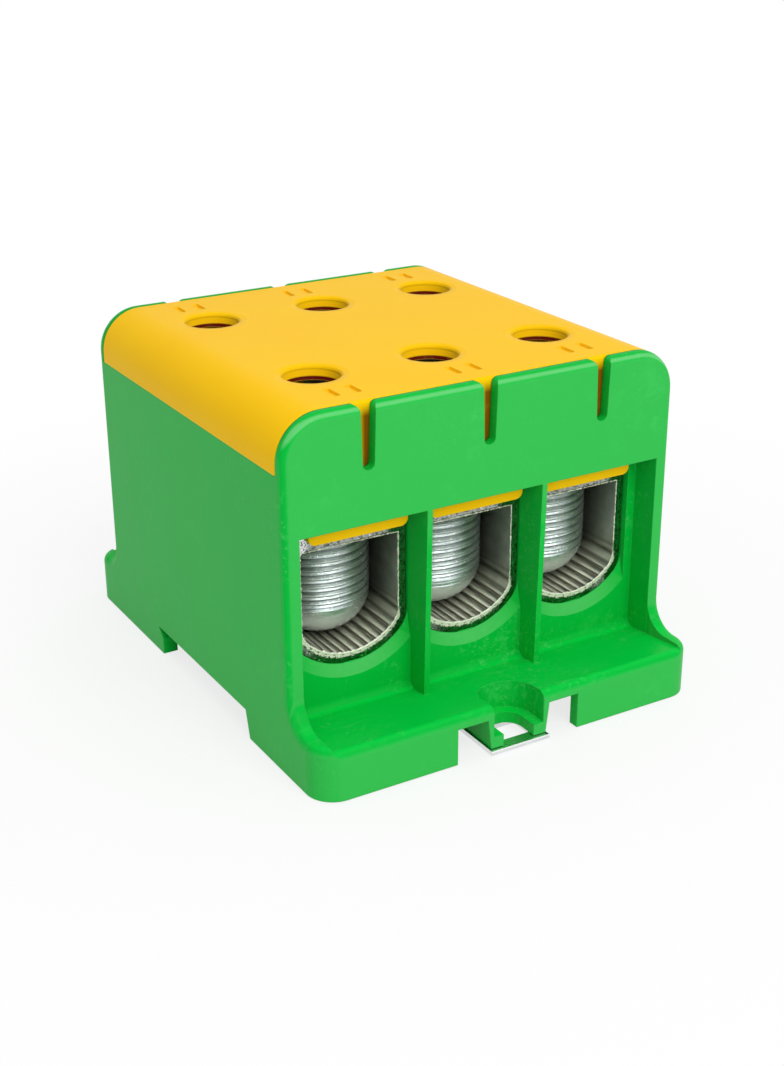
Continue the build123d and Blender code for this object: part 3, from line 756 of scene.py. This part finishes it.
dress("base_housing", GREEN)
dress("top_cover", YELLOW)
dress("rail_latch", SHEET)
dress("latch_spring", WIRE)
for number in (1, 2, 3):
    dress(f"terminal_body_{number}", TINNED)


# Clamping screws
def thread_blank():
    """Thread of the screw: one pitch of profile wound up the axis and cut level at both ends."""
    clear()
    bpy.ops.mesh.primitive_plane_add(size=THREAD_PITCH * MM, rotation=(math.pi / 2, 0, 0))
    blank = bpy.context.active_object
    settle(blank)
    edit_all()
    bpy.ops.mesh.subdivide(number_cuts=len(THREAD_DEPTH) - 2)
    drop_selection()
    half = THREAD_PITCH / 2 * MM
    for vert in blank.data.vertices:
        vert.select = vert.co.x < half * 0.99
    bpy.ops.object.mode_set(mode="EDIT")
    bpy.ops.mesh.delete(type="VERT")
    bpy.ops.object.mode_set(mode="OBJECT")

    start = SCREW_TIP - 2 * THREAD_PITCH
    step = 2 * half / (len(THREAD_DEPTH) - 1)
    for vert in blank.data.vertices:
        rank = round((vert.co.z + half) / step)
        vert.co.x = (CREST_R - (CREST_R - ROOT_R) * THREAD_DEPTH[rank]) * MM
        vert.co.z += start * MM + half
    wind(blank, THREAD_PITCH, math.ceil((SCREW_TOP - start) / THREAD_PITCH) + 1, TURN_STEPS)
    edit_all()
    bpy.ops.mesh.remove_doubles(threshold=THREAD_MERGE * MM)
    bpy.ops.object.mode_set(mode="OBJECT")
    roughen(blank, THREAD_GRAIN, THREAD_UNEVEN)
    bpy.ops.object.mode_set(mode="EDIT")
    cut_level(SCREW_TIP - THREAD_SPARE, upwards=False)
    cut_level(SCREW_TOP, upwards=True)
    face_outwards()
    return blank


def rounded_rod():
    """The rod that the thread is rolled on, with its large rounding at the tip."""
    clear()
    tall = SCREW_TOP + ROD_SPARE - SCREW_TIP
    bpy.ops.mesh.primitive_cylinder_add(
        vertices=ROD_SIDES,
        radius=SCREW_R * MM,
        depth=tall * MM,
        location=(0, 0, (SCREW_TIP + tall / 2) * MM),
    )
    rod = bpy.context.active_object
    settle(rod)
    edit_all()
    drop_selection()
    for face in rod.data.polygons:
        face.select = face.normal.z < -0.9
    bpy.ops.object.mode_set(mode="EDIT")
    bpy.ops.mesh.select_mode(type="FACE")
    bpy.ops.mesh.region_to_loop()
    bpy.ops.mesh.bevel(offset=TIP_EDGE * MM, segments=TIP_EDGE_STEPS, affect="EDGES")
    clear()
    return rod


def clamping_screw():
    """One screw on the axis, its tip down; the rest are copies."""
    body = thread_blank()
    join_solids(body, rounded_rod(), "INTERSECT")
    clear()
    bpy.ops.mesh.primitive_cylinder_add(
        vertices=6,
        radius=KEY_AF / math.sqrt(3) * MM,
        depth=2 * KEY_DEEP * MM,
        location=(0, 0, SCREW_TOP * MM),
    )
    key = bpy.context.active_object
    settle(key)
    join_solids(body, key, "DIFFERENCE")
    smooth(body, SCREW_SMOOTH)
    return body


def place_screws():
    """A copy of the screw at each clamping point, each turned its own way."""
    model = clamping_screw()
    chance = random.Random(TURN_SEED)
    for side, y in (("front", -SCREW_Y), ("back", SCREW_Y)):
        for number, x in enumerate(POLES, start=1):
            copy = model.copy()
            copy.data = model.data.copy()
            copy.name = f"threaded_screw_{side}_{number}"
            bpy.context.scene.collection.objects.link(copy)
            turn = Matrix.Rotation(chance.uniform(0, 2 * math.pi), 4, "Z")
            copy.data.transform(Matrix.Translation((x * MM, y * MM, 0)) @ turn)
            copy.data.materials.clear()
            copy.data.materials.append(ZINC)
            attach(copy, f"screw_{side}_{number}")
            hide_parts(f"clamp_screw_{side}_{number}")
    bpy.data.objects.remove(model)


place_screws()


# Latch spring
def latch_spring():
    """Coil between the housing's wall and the latch's lug."""
    clear()
    bpy.ops.mesh.primitive_circle_add(
        vertices=WIRE_SIDES,
        radius=WIRE_R * MM,
        location=(COIL_R * MM, 0, 0),
        rotation=(math.pi / 2, 0, 0),
    )
    coil = bpy.context.active_object
    coil.name = "latch_coil"
    settle(coil)
    length = COIL_ROOM - 2 * (WIRE_R + COIL_FIT)
    wind(coil, length / COIL_TURNS, COIL_TURNS, COIL_STEPS)
    edit_all()
    bpy.ops.mesh.remove_doubles(threshold=COIL_MERGE * MM)
    bpy.ops.mesh.fill_holes(sides=0)
    face_outwards()
    start = Matrix.Translation((0, (COIL_WALL + WIRE_R + COIL_FIT) * MM, COIL_Z * MM))
    coil.data.transform(start @ Matrix.Rotation(-math.pi / 2, 4, "X"))
    smooth(coil, COIL_SMOOTH)
    coil.data.materials.append(WIRE)
    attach(coil, "block")
    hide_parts("latch_spring")
    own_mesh(coil)


latch_spring()


# Torn edges at the bore mouths
def bore_line():
    """Points (x, z, width) once round the bore mouth, from the middle of its roof."""
    x = BORE_HALF - BORE_CORNER
    z = ARC_Z - math.sqrt((BORE_R - BORE_CORNER) ** 2 - x**2)
    turn = math.atan2(x, ARC_Z - z)
    half = []
    for i in range(ARC_STEPS + 1):
        a = turn * i / ARC_STEPS
        half.append((BORE_R * math.sin(a), ARC_Z - BORE_R * math.cos(a), 1.0))
    for i in range(1, CORNER_STEPS + 1):
        a = turn + (math.pi / 2 - turn) * i / CORNER_STEPS
        width = 1.0 - (1.0 - SIDE_WIDTH) * i / CORNER_STEPS
        half.append((x + BORE_CORNER * math.sin(a), z - BORE_CORNER * math.cos(a), width))
    for i in range(1, SIDE_STEPS + 1):
        half.append((BORE_HALF, z + (BORE_TOP - z) * i / SIDE_STEPS, SIDE_WIDTH))
    for i in range(1, ROOF_STEPS + 1):
        half.append((BORE_HALF * (1 - i / ROOF_STEPS), BORE_TOP, ROOF_WIDTH))
    left = [(-x0, z0, width) for x0, z0, width in half[1:]]
    return left[::-1] + half


def burr(name, pole, end, seed):
    """Ragged bright edge that the saw left round one bore mouth."""
    clear()
    bpy.ops.curve.primitive_nurbs_path_add()
    path = bpy.context.active_object
    path.name = name
    path.data.splines.clear()
    points = bore_line()
    run = path.data.splines.new("POLY")
    run.points.add((len(points) - 1) * BURR_PARTS)
    for i, point in enumerate(run.points):
        k, part = divmod(i, BURR_PARTS)
        ahead = points[min(k + 1, len(points) - 1)]
        x, z, width = [a + (b - a) * part / BURR_PARTS for a, b in zip(points[k], ahead)]
        point.co = (x * MM, 0, z * MM, 1.0)
        point.radius = width
    path.data.bevel_depth = BURR_R * MM
    path.data.bevel_resolution = 2
    work_on(path)
    bpy.ops.object.convert(target="MESH")
    shape = bpy.context.active_object

    # Roughened at a place of its own, so that no two edges are torn alike
    own_place = Matrix.Translation((0, seed * BURR_SHIFT * MM, 0))
    shape.data.transform(own_place)
    roughen(shape, BURR_GRAIN, BURR_UNEVEN)
    flat = Matrix.Diagonal((1, BURR_FLAT, 1, 1)) @ own_place.inverted()
    shape.data.transform(Matrix.Translation((pole * MM, end * BODY_END * MM, 0)) @ flat)
    smooth(shape, BURR_SMOOTH)
    shape.data.materials.clear()
    shape.data.materials.append(BURR)
    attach(shape, "block")


for number, pole in enumerate(POLES, start=1):
    burr(f"bore_edge_front_{number}", pole, -1, number)
    burr(f"bore_edge_back_{number}", pole, 1, number + 3)


# Stage
def seen_directly(g):
    """1 for what the camera, a reflection or a see-through part shows."""
    path = g.node("ShaderNodeLightPath").outputs
    seen = g.maths("ADD", path["Is Camera Ray"], path["Is Glossy Ray"])
    return g.maths("ADD", seen, path["Is Transmission Ray"], clamp=True)


def floor():
    """Pale floor that runs out into the white surround, keeps the shadow and is clear from below."""
    clear()
    bpy.ops.mesh.primitive_plane_add(size=FLOOR_SIZE, location=(0, 0, -FLOOR_DROP))
    ground = bpy.context.active_object
    ground.name = "floor"
    settle(ground)
    made, g, shader = new_material("pale_floor")
    g.feed(shader["Base Color"], FLOOR_GREY)
    shader["Roughness"].default_value = 0.9
    shader["Specular IOR Level"].default_value = 0.0
    away = g.node("ShaderNodeVectorMath", operation="LENGTH")
    g.feed(away.inputs[0], g.place())
    far = g.band(away.outputs["Value"], GLOW_FROM, GLOW_FULL)
    share = g.scaled(far, 1.0 - FLOOR_GLOW, FLOOR_GLOW)
    glow = g.node("ShaderNodeEmission", {"Color": WHITE, "Strength": 1.0})
    both = g.node("ShaderNodeMixShader")
    g.feed(both.inputs[0], g.times(share, seen_directly(g)))
    g.feed(both.inputs[1], made.node_tree.nodes["Principled BSDF"].outputs[0])
    g.feed(both.inputs[2], glow.outputs[0])
    sided = g.node("ShaderNodeMixShader")
    g.feed(sided.inputs[0], g.node("ShaderNodeNewGeometry").outputs["Backfacing"])
    g.feed(sided.inputs[1], both.outputs[0])
    g.feed(sided.inputs[2], g.node("ShaderNodeBsdfTransparent").outputs[0])
    g.feed(made.node_tree.nodes["Material Output"].inputs["Surface"], sided.outputs[0])
    ground.data.materials.append(made)


def surround():
    """White surround that lights the block as a soft grey."""
    world = bpy.data.worlds.new("surround")
    bpy.context.scene.world = world
    world.use_nodes = True
    g = Graph(world.node_tree)
    strength = g.node("ShaderNodeMapRange", {"To Min": SURROUND_LIGHT, "To Max": SURROUND_SEEN})
    g.feed(strength.inputs["Value"], seen_directly(g))
    background = world.node_tree.nodes["Background"].inputs
    g.feed(background["Color"], WHITE)
    g.feed(background["Strength"], strength.outputs["Result"])


def lamp(name, place, size, power):
    """A square lamp aimed at the middle of the block."""
    data = bpy.data.lights.new(name, "AREA")
    data.size = size
    data.energy = power
    obj = bpy.data.objects.new(name, data)
    bpy.context.scene.collection.objects.link(obj)
    obj.location = place
    obj.rotation_euler = (Vector(LAMP_AIM) - Vector(place)).to_track_quat("-Z", "Y").to_euler()


def camera():
    """The photograph's view, from a fit of the block's corners and rims."""
    data = bpy.data.cameras.new("view")
    obj = bpy.data.objects.new("view", data)
    bpy.context.scene.collection.objects.link(obj)
    azimuth, elevation, roll = (math.radians(angle) for angle in VIEW_TURN)
    level = math.cos(elevation)
    back = Vector((math.sin(azimuth) * level, -math.cos(azimuth) * level, math.sin(elevation)))
    obj.location = Vector(VIEW_TARGET) * MM + back * VIEW_AWAY * MM
    turn = (-back).to_track_quat("-Z", "Y").to_matrix() @ Matrix.Rotation(roll, 3, "Z")
    obj.rotation_euler = turn.to_euler()
    data.sensor_width = FILM
    data.lens = FILM * VIEW_FOCUS / PHOTO_TALL
    data.shift_x, data.shift_y = (shift / PHOTO_TALL for shift in VIEW_SHIFT)
    data.clip_start = 0.01
    data.clip_end = 20
    bpy.context.scene.camera = obj


floor()
surround()
lamp("key", place=(-0.03, -0.55, 0.5), size=0.5, power=2.9)
lamp("top", place=(0.1, 0.0, 0.8), size=0.6, power=1.0)
camera()
bpy.context.scene.view_settings.view_transform = "Standard"
